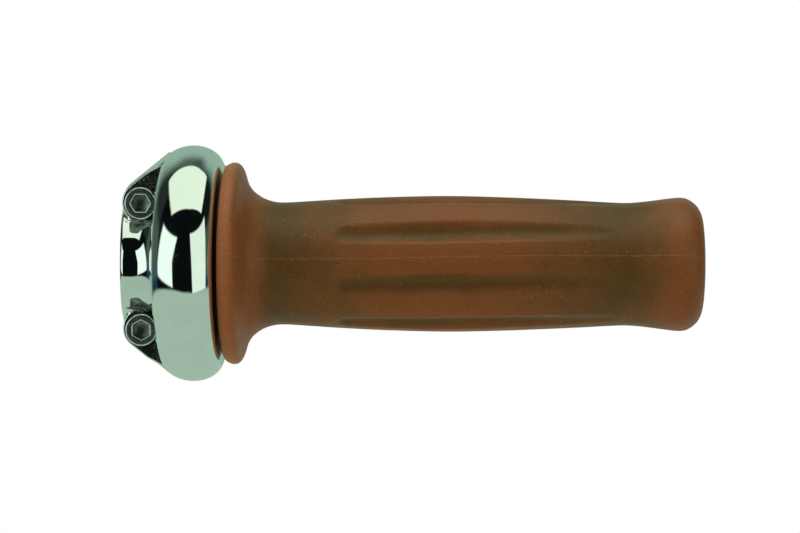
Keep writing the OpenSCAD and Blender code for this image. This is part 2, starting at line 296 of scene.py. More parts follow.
def shell(x, y, z):
    """The outside of both halves together, bosses included."""
    rad = np.hypot(y, z)
    ring = ring_shape(x, rad)
    saddle = rad - SADDLE_R
    # its end has a casting's draft: it leans out towards the joint
    saddle = rmax(saddle, SADDLE_X - 0.07 * np.clip(SADDLE_R - np.abs(y), 0, 9.0) - x, 0.9)
    saddle = np.maximum(saddle, x - RING_X)
    ears = rmax(ear_shape(x, y, z), x - 6.3, 0.5)
    flare = rmax(smin(ring, ears, 0.7), np.abs(y) - PAD_Y, 0.3)
    round_body = rmin(ring, saddle, 5.5)
    # in front, flats for the screws' heads are let into the fillet and the ring's face
    round_body = rmax(round_body, -np.maximum(flat_outline(x, z), y + PAD_Y), 0.12)
    # a larger fillet where the rounded end of the ear stands on the saddle
    body = np.minimum(round_body, rmin(flare, saddle, 0.45 + 0.65 * np.clip((-0.8 - x) / 2, 0, 1)))
    inlet = rmax(np.hypot(x - RING_X, z - INLET_Z) - INLET_R, y - INLET_Y, 0.7)
    inlet = np.maximum(inlet, 10 - y)
    t = y * math.cos(FRIC_A) - z * math.sin(FRIC_A)
    s = y * math.sin(FRIC_A) + z * math.cos(FRIC_A)
    fric = rmax(np.hypot(x - FRIC_X, s) - 5.4, t - FRIC_SEAT, 0.5)
    fric = np.maximum(fric, 22 - t)
    return np.where(y > 0, rmin(rmin(body, inlet, 1.8), fric, 1.2), body)


def hollows(x, y, z):
    """Everything cut out of the housing: negative inside a hollow."""
    rad = np.hypot(y, z)
    bore = np.maximum(rad - BAR_R, x - 8)
    bore = np.minimum(bore, rad - BAR_R + np.maximum(-4.0 - x, 0) * 1.0)
    chamber = np.maximum(np.maximum(rad - CHAMBER_R, CHAMBER_X0 - x), x - CHAMBER_X1)
    bush = np.maximum(rad - BUSH_R, CHAMBER_X1 - 1 - x)
    seal = np.maximum(np.maximum(17.0 - rad, rad - 19.6), 18.0 - x)
    dowels = np.maximum(np.hypot(x - RING_X, np.abs(z) - 26.2) - 1.1, np.abs(y) - 3.5)
    return np.minimum(np.minimum(np.minimum(bore, chamber), np.minimum(bush, seal)), dowels)


def front_half(x, y, z):
    rad = np.hypot(y, z)
    hole = np.hypot(x - SCREW_X, np.abs(z) - SCREW_Z) - 2.75
    relief = np.maximum(x - 3, -0.4 - y)
    # a hair of bevel along the joint between the halves
    joint = np.maximum(y, (y + shell(x, y, z)) * 0.7071 + 0.09)
    cut = np.minimum(np.minimum(hollows(x, y, z), hole), relief)
    return np.maximum(np.maximum(shell(x, y, z), joint), -cut)


def rear_half(x, y, z):
    hole = np.hypot(x - SCREW_X, np.abs(z) - SCREW_Z) - 2.52
    hole = hole - np.clip(y - PAD_Y + 0.45, 0, 0.5)  # countersunk where the tap leaves
    relief = np.maximum(x - 3, y - 0.4)
    thread = np.maximum(np.hypot(x - RING_X, z - INLET_Z) - 4.0, 21 - y)
    wire = np.maximum(np.maximum(np.hypot(x - RING_X, z - INLET_Z) - 2.9, 5 - y), y - 21.5)
    t = y * math.cos(FRIC_A) - z * math.sin(FRIC_A)
    s = y * math.sin(FRIC_A) + z * math.cos(FRIC_A)
    r = np.hypot(x - FRIC_X, s)
    screw = np.maximum(r - 2.5, 20 - t)
    pocket = np.maximum(np.maximum(r - 3.4, 16 - t), t - 26.5)
    sy, sz = STOP_R * math.cos(STOP_A), STOP_R * math.sin(STOP_A)
    stop = np.maximum(np.maximum(np.hypot(y - sy, z - sz) - 1.5, 3.2 - x), x - 8)
    body = shell(x, y, z)
    joint = np.maximum(-y, (-y + body) * 0.7071 + 0.09)
    cut = np.minimum(np.minimum(np.minimum(hollows(x, y, z), hole), np.minimum(relief, thread)),
                     np.minimum(np.minimum(wire, screw), np.minimum(pocket, stop)))
    return np.maximum(np.maximum(body, joint), -cut)


def steps(*spans):
    """Grid lines: spans of (start, end, step), one after the other."""
    out = []
    for a, b, h in spans:
        n = max(int(round((b - a) / h)), 1)
        out += [a + (b - a) * i / n for i in range(n)]
    out.append(spans[-1][1])
    return np.array(out)


coarse = 1.0
gx = steps((-6.13, 7.6, 0.3 * coarse), (7.6, 20.0, 0.4 * coarse))
gz = steps((-30.03, 30.03, 0.335 * coarse))
front_y = steps((-30.01, -9.3, 0.36 * coarse), (-9.3, -8.1, 0.2 * coarse), (-8.1, -0.62, 0.36 * coarse), (-0.62, 0.2, 0.137))
rear_y = steps((-0.2, 0.62, 0.137), (0.62, 8.1, 0.36 * coarse), (8.1, 9.3, 0.2 * coarse), (9.3, 32.4, 0.36 * coarse))
housing_front = implicit_object("front_casting", front_half, gx, front_y, gz)
housing_rear = implicit_object("rear_casting", rear_half, gx, rear_y, gz)


def skin(obj, materials, index=None):
    """Gives the mesh its materials, and each face its index."""
    for m in materials:
        obj.data.materials.append(m)
    if index is not None:
        obj.data.polygons.foreach_set("material_index", np.asarray(index, dtype=np.int32))
    return obj


def face_data(obj):
    """Centres (mm) and normals of the faces."""
    me = obj.data
    c, n = np.empty(len(me.polygons) * 3), np.empty(len(me.polygons) * 3)
    me.polygons.foreach_get("center", c)
    me.polygons.foreach_get("normal", n)
    return c.reshape(-1, 3) / MM, n.reshape(-1, 3)


# ------------------------------------------------------------------ grip rubber
GRIP_X0, GRIP_X1, TUBE_RO, TUBE_X1 = 20.0, 139.4, 12.5, 134.0
FLUTE_R, FLUTE_FLOOR, FLUTE_X0, FLUTE_X1, MOULD_A = 3.6, 15.4, 48.0, 118.0, 7.5


def catmull(points, n):
    p = np.asarray(points, dtype=float)
    out = []
    for i in range(len(p) - 1):
        a, b, c, d = p[max(i - 1, 0)], p[i], p[i + 1], p[min(i + 2, len(p) - 1)]
        for k in range(n):
            t = k / n
            out.append(0.5 * (2 * b + (c - a) * t + (2 * a - 5 * b + 4 * c - d) * t * t
                              + (3 * b - a - 3 * c + d) * t**3))
    out.append(p[-1])
    return np.array(out)


def resample(line, pitch):
    """Points along a line, pitch(x) apart."""
    seg = np.linalg.norm(np.diff(line, axis=0), axis=1)
    mid = (line[1:] + line[:-1]) / 2
    count = np.concatenate([[0], np.cumsum(seg / pitch(mid[:, 0]))])
    n = int(round(count[-1]))
    at = np.linspace(0, count[-1], n + 1)
    return np.stack([np.interp(at, count, line[:, i]) for i in range(2)], axis=1)


def grip_profile():
    f, n, b, w, k, e = 25.25, 15.3, 16.95, 15.3, 16.6, GRIP_X1 - GRIP_X0
    stations = [
        (0.02, f - 3.1), (0.08, f - 2.1), (0.3, f - 1.15), (1, f - 0.45), (2.4, f), (3.65, f - 0.35), (4.55, f - 1.65),
        (5.5, n + 5.35), (6.6, n + 3.45), (7.7, n + 2.35), (9.8, n + 1.0), (12.8, n + 0.1), (16, n), (21, n + 0.3),
        (29, n + 0.8), (41, b - 0.3), (56, b), (71, b - 0.35), (87, w + 0.6), (97, w + 0.05), (101, w), (105, w + 0.35),
        (110, k - 0.3), (113, k), (e - 4.2, k - 0.3), (e - 2.2, k - 1.65), (e - 1.1, k - 3.15), (e - 0.5, k - 4.95),
        (e - 0.15, k - 8.5), (e - 0.03, k - 12.5), (e, 0.5)]
    return catmull([(GRIP_X0 + x, r) for x, r in stations], 14)


def grip_columns():
    """Angles above -Y, closer together at the flutes' edges and at the mould line."""
    half = np.concatenate([np.linspace(0, 7, 5)[:-1], np.linspace(7, 12, 9)[:-1], np.linspace(12, 22.5, 7)[:-1]])
    sector = np.concatenate([-half[:0:-1], half])
    cols = np.concatenate([30.0 + 45 * i + sector for i in range(8)] + [52.5 + 45 * np.arange(8)])
    seam = np.concatenate([[MOULD_A + s + d for d in (-0.7, -0.35, 0.35, 0.7)] for s in (0, 180)])
    return np.unique(np.round(np.mod(np.concatenate([cols, seam]) + 360, 360), 4))


def build_grip():
    fine = 1.0

    def pitch(x):
        p = np.interp(x, [19.8, 31, 36, 46, 48, 53, 57, 100, 104, 119, 124, 128, 140],
                      [0.42, 0.5, 0.9, 0.9, 0.33, 0.33, 1.1, 1.1, 0.45, 0.45, 0.9, 0.6, 0.42])
        return p * fine

    outer = resample(grip_profile(), pitch)
    face = [(GRIP_X0, r) for r in (TUBE_RO, 14.0, 17.0, 20.0, 21.7)]
    inner = [(TUBE_X1, 0.5), (TUBE_X1, 6.0), (TUBE_X1, TUBE_RO)] + [(x, TUBE_RO) for x in (120, 90, 60, 40, 28)]
    th = np.radians(grip_columns())
    m = len(th)
    rows, thickness_and_painted_shade = [], []
    # the sleeve was pulled on with a slight twist
    twist = lambda x: np.radians(2.0 + 1.8 * np.tanh((np.asarray(x) - 78) / 22))
    for x, r in face:
        rows.append(np.stack([np.full(m, x), np.full(m, r)], axis=1))
        thickness_and_painted_shade.append(np.full(m, 9.0))
    d = np.radians(np.mod(np.degrees(th) - 30 + 22.5, 45) - 22.5)
    X, R = outer[:, :1], outer[:, 1:]
    c = FLUTE_FLOOR + FLUTE_R
    dx = np.maximum(np.maximum(FLUTE_X0 + 3 - X, X - FLUTE_X1 + 3), 0)
    lo, hi = np.minimum(R * 0.6, 13.0) + 0 * d, R + 0 * d
    for _ in range(26):
        mid = (lo + hi) / 2
        gap = FLUTE_R - np.sqrt(dx**2 + (mid * np.cos(d) - c) ** 2 + (mid * np.sin(d)) ** 2)
        low = rmax(mid - R, gap, 0.55) < 0
        lo, hi = np.where(low, mid, lo), np.where(low, hi, mid)
    surf = (lo + hi) / 2
    # the parting line of the two-part mould stands a hair proud
    seam = np.minimum(abs(np.mod(np.degrees(th) - MOULD_A + 180, 360) - 180), abs(np.mod(np.degrees(th) - MOULD_A, 360) - 180))
    surf = surf + 0.07 * np.exp(-(seam / 0.32) ** 2)[None, :] * (R > 14)
    t = surf - TUBE_RO + np.maximum(27.5 - X, 0) * 0.2 + 0.5 * np.clip((X - 118) / 18, 0, 1)
    # painted shade: the flange's far slope, which faces away from the light, is given the darker tone of a thinner
    # sleeve
    t = np.minimum(t, np.interp(X, [20.0, 21.5, 23.2, 25.0, 27.5, 31], [20, 9.0, 7.4, 5.9, 4.7, 20]))
    for i in range(len(outer)):
        rows.append(np.stack([np.full(m, outer[i, 0]), surf[i]], axis=1))
        thickness_and_painted_shade.append(np.maximum(t[i], 4.6 if outer[i, 0] > TUBE_X1 else 0.5))
    outside = len(rows)
    for x, r in inner:
        rows.append(np.stack([np.full(m, x), np.full(m, r)], axis=1))
        thickness_and_painted_shade.append(np.full(m, 4.0))
    rows, n = np.array(rows), len(rows)
    tw = th + twist(rows[:, :, 0])
    v = np.stack([rows[:, :, 0], -rows[:, :, 1] * np.cos(tw), rows[:, :, 1] * np.sin(tw)], axis=2).reshape(-1, 3)
    v = np.vstack([v, [[GRIP_X1, 0, 0], [TUBE_X1, 0, 0]]])
    J = np.arange(m)
    K = (J + 1) % m
    quads, tris = [], []
    for i in range(n):
        if i == outside - 1:
            continue
        a, b = i * m, ((i + 1) % n) * m
        quads.append(np.stack([a + J, b + J, b + K, a + K], axis=1))
    last, first = (outside - 1) * m, outside * m
    tris.append(np.stack([last + J, np.full(m, n * m), last + K], axis=1))
    tris.append(np.stack([np.full(m, n * m + 1), first + J, first + K], axis=1))
    faces = np.concatenate(quads).tolist() + np.concatenate(tris).tolist()
    obj = mesh_object("grip_sleeve", v, faces)
    attribute(obj, "thickness_and_painted_shade", np.concatenate([np.concatenate(thickness_and_painted_shade), [15.0, 15.0]]))
    line = np.tile(np.exp(-(seam / 0.45) ** 2), n).reshape(n, m)
    line[outside:] = 0
    attribute(obj, "mould", np.concatenate([line.ravel(), [0, 0]]))
    sharpen(obj, 50)
    return obj


grip = build_grip()


# ------------------------------------------------------------------ turned parts
def frame_of(origin, axis, up):
    a = np.asarray(axis, dtype=float)
    a = a / np.linalg.norm(a)
    u = np.asarray(up, dtype=float)
    u = u - a * np.dot(u, a)
    u /= np.linalg.norm(u)
    return np.asarray(origin, dtype=float), a, u, np.cross(a, u)


def lathe(outline, cols, place, shape=None):
    """Verts and faces of a turned solid. outline is a list of (along, radius) points: from pole to pole for a
    solid one, or round a closed loop for one with a hole. shape(along, radius, angle, row) may move them."""
    origin, a, u, w = place
    line = np.asarray(outline, dtype=float)
    th = np.arange(cols) * 2 * math.pi / cols
    poles = [line[0, 1] == 0, line[-1, 1] == 0]
    body = line[int(poles[0]):len(line) - int(poles[1])]
    A = np.repeat(body[:, :1], cols, axis=1)
    R = np.repeat(body[:, 1:2], cols, axis=1)
    if shape is not None:
        A, R = shape(A, R, th[None, :], np.arange(len(body))[:, None])
    v = (origin + A[..., None] * a + (R * np.cos(th))[..., None] * u + (R * np.sin(th))[..., None] * w).reshape(-1, 3)
    n = len(body)
    J = np.arange(cols)
    K = (J + 1) % cols
    faces = []
    for i in range(n if not any(poles) else n - 1):
        p, q = i * cols, ((i + 1) % n) * cols
        faces += np.stack([p + J, p + K, q + K, q + J], axis=1).tolist()
    if poles[0]:
        v = np.vstack([v, origin + a * line[0, 0]])
        faces += np.stack([np.full(cols, len(v) - 1), K, J], axis=1).tolist()
    if poles[1]:
        v = np.vstack([v, origin + a * line[-1, 0]])
        last = (n - 1) * cols
        faces += np.stack([np.full(cols, len(v) - 1), last + J, last + K], axis=1).tolist()
    return v, faces


def join(name, parts, degrees=32):
    verts, faces, base = [], [], 0
    for v, f in parts:
        verts.append(v)
        faces += [[i + base for i in face] for face in f]
        base += len(v)
    obj = mesh_object(name, np.vstack(verts), faces)
    # every part is a closed skin, so its volume says which way its faces look
    return sharpen(obj, degrees)


def hexagon(th, flat, turn=0.0):
    """Distance from the axis to a hexagon's side, by angle; a corner is at turn."""
    t = np.mod(th - turn, math.pi / 3) - math.pi / 6
    return flat / np.cos(t)


def wave(x):
    """A triangle wave, 0 to 1 to 0 over each unit."""
    return 1 - abs(2 * np.mod(x, 1) - 1)


def thread(A, R, th, lo, hi, major, pitch, depth, hand=1):
    """Cuts a right-hand thread into the rows between lo and hi whose radius is the major one."""
    on = (A > lo) & (A < hi) & (abs(R - major) < 0.02)
    run = np.clip(np.minimum(A - lo, hi - A) / (0.8 * pitch), 0, 1)
    groove = np.clip(1.25 * wave(A / pitch - hand * th / (2 * math.pi)) - 0.2, 0, 1)
    return np.where(on, R - depth * groove * run, R)


def span(a, b, n):
    return [a + (b - a) * i / n for i in range(n + 1)]


def rows(lo, hi, step, r):
    n = max(int(abs(hi - lo) / step), 1)
    return [(x, r) for x in span(lo, hi, n)]


def cap_screw(z, turn):
    """Along +Y from the head's face. The socket is a hexagon with a rolled lead-in and a drilled floor."""
    place = frame_of((SCREW_X, -PAD_Y - 5.0, z), (0, 1, 0), (1, 0, 0))
    corner, flat = 4.0 / math.sqrt(3), 2.0
    r = HEAD_R
    roll = [(0.36 * (1 - math.cos(t)), r - 0.38 + 0.36 * math.sin(t)) for t in (0, 0.35, 0.7, 1.05, 1.4)]
    outline = ([(3.05, 0), (2.45, 1.75), (2.4, corner), (1.4, corner), (0.5, corner), (0.30, corner + 0.02)]
               + [(0.13, corner + 0.12), (0.03, corner + 0.25), (0.0, corner + 0.36), (0.0, 2.95)] + roll
               + rows(0.5, 4.5, 0.42, r) + [(4.62, r - 0.02), (5.0, r - 0.38), (5.0, 3.2), (5.0, 2.75), (5.2, 2.5)]
               + rows(5.5, 20.6, 0.17, 2.5) + [(20.9, 2.3), (21.0, 2.0), (21.0, 0)])

    def shape(A, R, th, k):
        hexr = hexagon(th, flat, turn)
        R2 = np.where((k >= 1) & (k <= 7), hexr + (R - corner), R)
        R2 = np.where((R == 1.75) & (k == 0), np.minimum(1.75, hexr - 0.2), R2)
        R2 = np.where(abs(R - r) < 0.001, R - 0.16 * wave(th * 40 / (2 * math.pi)), R2)
        return A, thread(A, R2, th, 7.0, 20.8, 2.5, 0.8, 0.42)

    return lathe(outline[::1], 160, place, shape)


def hex_nut(place, lo, hi, flat, hole, pitch, edge=0.35, bore_cs=0.45):
    """A chamfered nut, drawn along the axis from lo to hi."""
    corner = flat / math.cos(math.pi / 6)
    outer = [(lo, hole + bore_cs), (lo, (hole + flat) / 2), (lo, flat * 0.985), (lo + 0.12, flat * 1.02)]
    side = [(lo + 0.35, corner), (lo + 0.7, corner), ((lo + hi) / 2, corner), (hi - 0.7, corner), (hi - 0.35, corner)]
    top = [(hi - 0.12, flat * 1.02), (hi, flat * 0.985), (hi, (hole + flat) / 2), (hi, hole + bore_cs)]
    inner = rows(hi - bore_cs, lo + bore_cs, pitch / 5, hole)
    outline = outer + side + top + inner

    def shape(A, R, th, k):
        hexr = hexagon(th, flat)
        # a cone at 30 degrees takes the corners off, and leaves its curve on each flat
        cone = flat * 0.985 + np.minimum(A - lo, hi - A) / 0.577
        R2 = np.where(R > flat, np.minimum(np.minimum(hexr, cone), corner - 0.05), R)
        on = (abs(R - hole) < 0.01) & (A > lo + bore_cs) & (A < hi - bore_cs)
        R2 = np.where(on, R2 + 0.3 * np.clip(1.25 * wave(A / pitch - th / (2 * math.pi)) - 0.2, 0, 1), R2)
        return A, R2

    return lathe(outline[::-1], 144, place, shape)


INLET = frame_of((RING_X, 0, INLET_Z), (0, 1, 0), (1, 0, 0))
FRIC = frame_of((FRIC_X, 0, 0), (0, math.cos(FRIC_A), -math.sin(FRIC_A)), (1, 0, 0))


def adjuster():
    """Barrel adjuster: threaded shank, knurled head, bored through for the wire and wider for the ferrule."""
    outline = ([(21.5, 1.5), (21.5, 2.2), (21.5, 3.3), (21.85, 3.75), (22.1, 3.95)] + rows(22.3, 36.2, 0.2, 3.95)
               + [(36.5, 3.6), (36.9, 3.6), (37.0, 3.8), (37.0, 5.0), (37.12, 5.35), (37.5, 5.75)]
               + rows(37.6, 44.6, 0.7, 5.8) + [(44.8, 5.72), (45.15, 5.2), (45.3, 4.9), (45.8, 4.9), (46.0, 4.7), (46.0, 3.9),
                                               (46.0, 3.4), (45.75, 3.15), (45.0, 3.15), (42.0, 3.15), (39.0, 3.15), (39.0, 2.2),
                                               (38.8, 1.5), (30.0, 1.5)])

    def shape(A, R, th, k):
        turn = th * 44 / (2 * math.pi)
        mesh = np.maximum(wave(turn + A * 0.9), wave(turn - A * 0.9))
        R2 = np.where(abs(R - 5.8) < 0.001, R - 0.30 + 0.30 * mesh, R)
        R2 = thread(A, R2, th, 21.9, 36.3, 3.95, 1.0, 0.52)
        return A, R2

    return lathe(outline[::-1], 176, INLET, shape)


def ferrule():
    outline = [(39.05, 1.5), (39.05, 2.6), (39.3, 2.95), (39.6, 3.1), (42.0, 3.1), (45.2, 3.1), (45.95, 3.1), (46.05, 3.3),
               (46.05, 3.6), (46.15, 3.78), (46.5, 3.8), (46.8, 3.78), (46.97, 3.6), (47.0, 3.3), (47.0, 2.85), (46.8, 2.62),
               (46.5, 2.6), (43.0, 2.6), (40.1, 2.6), (40.0, 2.4), (40.0, 1.7), (39.9, 1.5)]
    return lathe(outline[::-1], 72, INLET)


def guide():
    outline = [(15.6, 1.5), (15.6, 2.6), (15.85, 2.88), (18.0, 2.88), (20.65, 2.88), (20.9, 2.65), (20.9, 1.6), (20.6, 1.3),
               (18.0, 1.3), (15.9, 1.3)]
    return lathe(outline[::-1], 64, INLET)


def friction_screw():
    """Thumb screw: threaded shank and a knurled head with a sawn slot."""
    outline = ([(25.0, 0), (25.0, 1.7), (25.1, 2.0), (25.4, 2.35), (25.6, 2.45)] + rows(25.8, 35.2, 0.18, 2.45)
               + [(35.3, 2.45), (35.5, 2.7), (35.5, 4.6), (35.6, 5.3), (35.8, 5.75), (36.0, 5.95)]
               + rows(36.1, 39.6, 0.5, 6.0) + [(39.8, 5.92), (40.15, 5.5), (40.3, 5.0), (40.42, 4.0), (40.5, 2.5), (40.5, 0)])

    def shape(A, R, th, k):
        R2 = np.where(abs(R - 6.0) < 0.001, R - 0.34 * wave(th * 36 / (2 * math.pi)), R)
        return A, thread(A, R2, th, 25.5, 35.3, 2.45, 0.8, 0.42)

    return lathe(outline, 144, FRIC, shape)


def flipped(obj):
    """Turns a closed skin's faces outwards if they look inwards."""
    import bmesh
    bm = bmesh.new()
    bm.from_mesh(obj.data)
    if bm.calc_volume(signed=True) < 0:
        bmesh.ops.reverse_faces(bm, faces=bm.faces[:])
        bm.to_mesh(obj.data)
    bm.free()
    return obj


def saw_slot(obj):
    """Cuts the screwdriver slot, 1.2 mm wide and 1.2 mm deep, across the friction screw's head."""
    origin, a, u, w = FRIC
    corners = []
    for along in (39.3, 41.5):
        for i, j in ((-7, -0.6), (7, -0.6), (7, 0.6), (-7, 0.6)):
            corners.append(origin + a * along + u * i + w * j)
    faces = [[0, 1, 2, 3], [7, 6, 5, 4], [0, 4, 5, 1], [1, 5, 6, 2], [2, 6, 7, 3], [3, 7, 4, 0]]
    blade = flipped(mesh_object("slot_blade", np.array(corners), faces, smooth=False))
    mod = obj.modifiers.new("slot", "BOOLEAN")
    mod.operation, mod.solver, mod.object = "DIFFERENCE", "EXACT", blade
    deps = bpy.context.evaluated_depsgraph_get()
    cut = bpy.data.meshes.new_from_object(obj.evaluated_get(deps))
    obj.modifiers.clear()
    obj.data = cut
    bpy.data.objects.remove(blade)
    return sharpen(obj, 32)


screws = flipped(join("socket_screws", [cap_screw(SCREW_Z, 0.0), cap_screw(-SCREW_Z, math.radians(30))]))
adjuster_obj = flipped(join("barrel_adjuster", [adjuster()]))
adjuster_nut = flipped(join("adjuster_nut", [hex_nut(INLET, 32.0, 35.5, 5.5, 4.0, 1.0)]))
ferrule_obj = flipped(join("sheath_ferrule", [ferrule()]))
guide_obj = flipped(join("wire_guide", [guide()]))
thumb = saw_slot(flipped(join("thumb_screw", [friction_screw()])))
thumb_nut = flipped(join("thumb_nut", [hex_nut(FRIC, 31.0, 34.0, 4.0, 2.5, 0.8)]))


# ------------------------------------------------------------------ materials
class Mat:
    """A small helper for building a node material."""

    def __init__(self, name, **values):
        self.m = bpy.data.materials.new(name)
        self.m.use_nodes = True
        self.t = self.m.node_tree
        self.t.nodes.clear()
        self.out = self.node("OutputMaterial")
        self.b = self.node("BsdfPrincipled")
        self.link(self.b.outputs[0], self.out.inputs[0])
        for k, v in values.items():
            self.b.inputs[k.replace("_", " ")].default_value = v
        self.at = self.node("TexCoord").outputs["Object"]

    def node(self, kind, **props):
        n = self.t.nodes.new("ShaderNode" + kind)
        for k, v in props.items():
            setattr(n, k, v)
        return n

    def link(self, a, b):
        self.t.links.new(a, b)

    def put(self, socket, value):
        if isinstance(value, (int, float, tuple)):
            socket.default_value = value
        else:
            self.link(value, socket)

    def stretch(self, x, y, z):
        """The object's coordinates in millimetres, divided by a size each way."""
        n = self.node("Mapping")
        n.inputs["Scale"].default_value = (1000 / x, 1000 / y, 1000 / z)
        self.link(self.at, n.inputs["Vector"])
        return n.outputs[0]

    def noise(self, size, detail=3.0, rough=0.55, vector=None, distortion=0.0):
        """size in millimetres."""
        n = self.node("TexNoise")
        n.inputs["Scale"].default_value = 1.0
        n.inputs["Detail"].default_value = detail
        n.inputs["Roughness"].default_value = rough
        n.inputs["Distortion"].default_value = distortion
        self.link(vector if vector is not None else self.stretch(size, size, size), n.inputs["Vector"])
        return n.outputs[0]

    def cells(self, size, spread=1.0, vector=None):
        n = self.node("TexVoronoi")
        n.inputs["Scale"].default_value = 1.0
        n.inputs["Randomness"].default_value = spread
        self.link(vector if vector is not None else self.stretch(size, size, size), n.inputs["Vector"])
        return n

    def fit(self, x, a, b, c=0.0, d=1.0, smooth=False):
        n = self.node("MapRange", interpolation_type="SMOOTHSTEP" if smooth else "LINEAR")
        self.put(n.inputs["Value"], x)
        for key, v in (("From Min", a), ("From Max", b), ("To Min", c), ("To Max", d)):
            n.inputs[key].default_value = v
        return n.outputs[0]

    def math(self, op, a, b=0.0, clamp=False):
        n = self.node("Math", operation=op, use_clamp=clamp)
        self.put(n.inputs[0], a)
        self.put(n.inputs[1], b)
        return n.outputs[0]

    def mix(self, f, a, b, blend="MIX"):
        n = self.node("Mix", data_type="RGBA", blend_type=blend)
        self.put(n.inputs[0], f)
        self.put(n.inputs[6], a if not isinstance(a, tuple) else (*a, 1.0))
        self.put(n.inputs[7], b if not isinstance(b, tuple) else (*b, 1.0))
        return n.outputs[2]

    def blend(self, f, a, b):
        return self.fit(f, 0.0, 1.0, a, b)

    def node_blend(self, f, a, b):
        """Between two values that are themselves worked out by nodes."""
        return self.math("ADD", a, self.math("MULTIPLY", f, self.math("SUBTRACT", b, a)))

    def value(self, name):
        return self.node("Attribute", attribute_name=name).outputs["Fac"]

    def bump(self, height, distance, strength=1.0, after=None):
        """distance in millimetres."""
        n = self.node("Bump")
        n.inputs["Strength"].default_value = strength
        n.inputs["Distance"].default_value = distance * MM
        self.link(height, n.inputs["Height"])
        if after is not None:
            self.link(after, n.inputs["Normal"])
        self.link(n.outputs[0], self.b.inputs["Normal"])
        return n.outputs[0]

    def set(self, **values):
        for k, v in values.items():
            self.put(self.b.inputs[k.replace("_", " ")], v if not isinstance(v, tuple) else (*v, 1.0))
        return self


def lin(code):
    """An sRGB hex colour as linear numbers."""
    c = [int(code[i:i + 2], 16) / 255 for i in (1, 3, 5)]
    return tuple(x / 12.92 if x <= 0.04045 else ((x + 0.055) / 1.055) ** 2.4 for x in c)


def chrome():
    m = Mat("polished_chrome", Metallic=1.0)
    cloud = m.noise(7.0, 2.0)
    m.set(Base_Color=m.mix(m.fit(cloud, 0.35, 0.65), (0.85, 0.885, 0.865), (0.90, 0.925, 0.91)))
    # hairline polishing marks run round the ring; a few light scratches cross them
    marks = m.noise(1.0, 4.0, 0.6, m.stretch(0.09, 4.0, 4.0))
    scratch = m.noise(1.0, 2.0, 0.5, m.stretch(6.0, 0.12, 2.2), 0.4)
    fine = m.math("MULTIPLY", m.fit(scratch, 0.66, 0.74), 0.10)
    rough = m.math("ADD", m.fit(marks, 0.3, 0.8, 0.025, 0.06), fine)
    rough = m.math("ADD", rough, m.fit(m.noise(11.0, 3.0), 0.5, 0.8, 0.0, 0.05))
    m.set(Roughness=rough)
    orange = m.noise(2.6, 1.0, 0.4)
    m.bump(orange, 0.004)
    return m.m


def cast_dark():
    """The spot faces round the screws: dark, grainy and flecked, with the plating's bright edge outside them and a
    painted shadow band just inside that edge.
    """
    m = Mat("dark_cast_face", Metallic=0.6)
    inside = m.fit(m.value("pad"), 0.24, 0.32)
    # painted shadow: a black band just inside the dark face's edge, fading inwards, stands in for the shade beside the
    # plated rim
    painted_shadow_band = m.fit(m.value("pad"), 0.34, 0.75, 0.45, 0.0)
    grain, speck, fleck = m.noise(0.45, 4.0, 0.7), m.noise(0.25, 2.0, 0.6), m.noise(0.42, 3.0, 0.7)
    where = m.fit(m.noise(3.0, 2.0), 0.35, 0.60)
    base = m.mix(m.fit(grain, 0.35, 0.7), lin("#0b0f0d"), lin("#28312b"))
    base = m.mix(m.math("MULTIPLY", m.fit(speck, 0.56, 0.63), where), base, lin("#7d8d82"))
    base = m.mix(m.math("MULTIPLY", m.fit(fleck, 0.60, 0.65), where), base, lin("#c4d4c7"))
    # the painted shadow band darkens the face towards black just inside its edge
    base = m.mix(painted_shadow_band, base, (0.0, 0.0, 0.0))
    plated = m.fit(m.noise(1.0, 4.0, 0.6, m.stretch(0.09, 4.0, 4.0)), 0.3, 0.8, 0.20, 0.30)
    m.set(Base_Color=m.mix(inside, (0.87, 0.90, 0.885), base), Metallic=m.fit(inside, 0.0, 1.0, 1.0, 0.6))
    m.set(Roughness=m.node_blend(inside, plated, m.fit(grain, 0.3, 0.7, 0.36, 0.6)))
    m.bump(m.math("MULTIPLY", m.math("ADD", grain, m.math("MULTIPLY", speck, 0.6)), inside), 0.05)
    return m.m


def cast_alloy():
    """Inside of the castings: bare alloy, as cast, with turning marks where it was bored."""
    m = Mat("bare_alloy", Metallic=0.9, Roughness=0.42)
    grain, cloud = m.noise(0.6, 4.0, 0.65), m.noise(5.0, 3.0)
    turned = m.noise(1.0, 2.0, 0.5, m.stretch(0.14, 9.0, 9.0))
    m.set(Base_Color=m.mix(m.fit(cloud, 0.3, 0.7), (0.30, 0.31, 0.30), (0.46, 0.47, 0.45)),
          Roughness=m.fit(grain, 0.3, 0.7, 0.34, 0.55))
    m.bump(m.math("ADD", m.math("MULTIPLY", turned, 0.5), grain), 0.03)
    return m.m


def steel_mat(name, dark, light, lo=0.22, hi=0.4, metal=1.0, stain=None, grain_mm=0.35, depth=0.012):
    m = Mat(name, Metallic=metal)
    cloud, grain = m.noise(2.4, 4.0, 0.6), m.noise(grain_mm, 3.0, 0.6)
    base = m.mix(m.fit(cloud, 0.32, 0.7), dark, light)
    if stain is not None:
        base = m.mix(m.fit(m.noise(1.1, 5.0, 0.7), 0.60, 0.72), base, stain)
    m.set(Base_Color=base, Roughness=m.fit(grain, 0.3, 0.7, lo, hi))
    m.bump(grain, depth)
    return m.m


def brass_mat():
    m = Mat("bearing_bronze", Metallic=1.0)
    turned = m.noise(1.0, 3.0, 0.6, m.stretch(0.12, 8.0, 8.0))
    m.set(Base_Color=m.mix(m.fit(m.noise(3.0), 0.35, 0.65), (0.52, 0.33, 0.12), (0.68, 0.47, 0.20)),
          Roughness=m.fit(turned, 0.3, 0.7, 0.22, 0.4))
    m.bump(turned, 0.01)
    return m.m


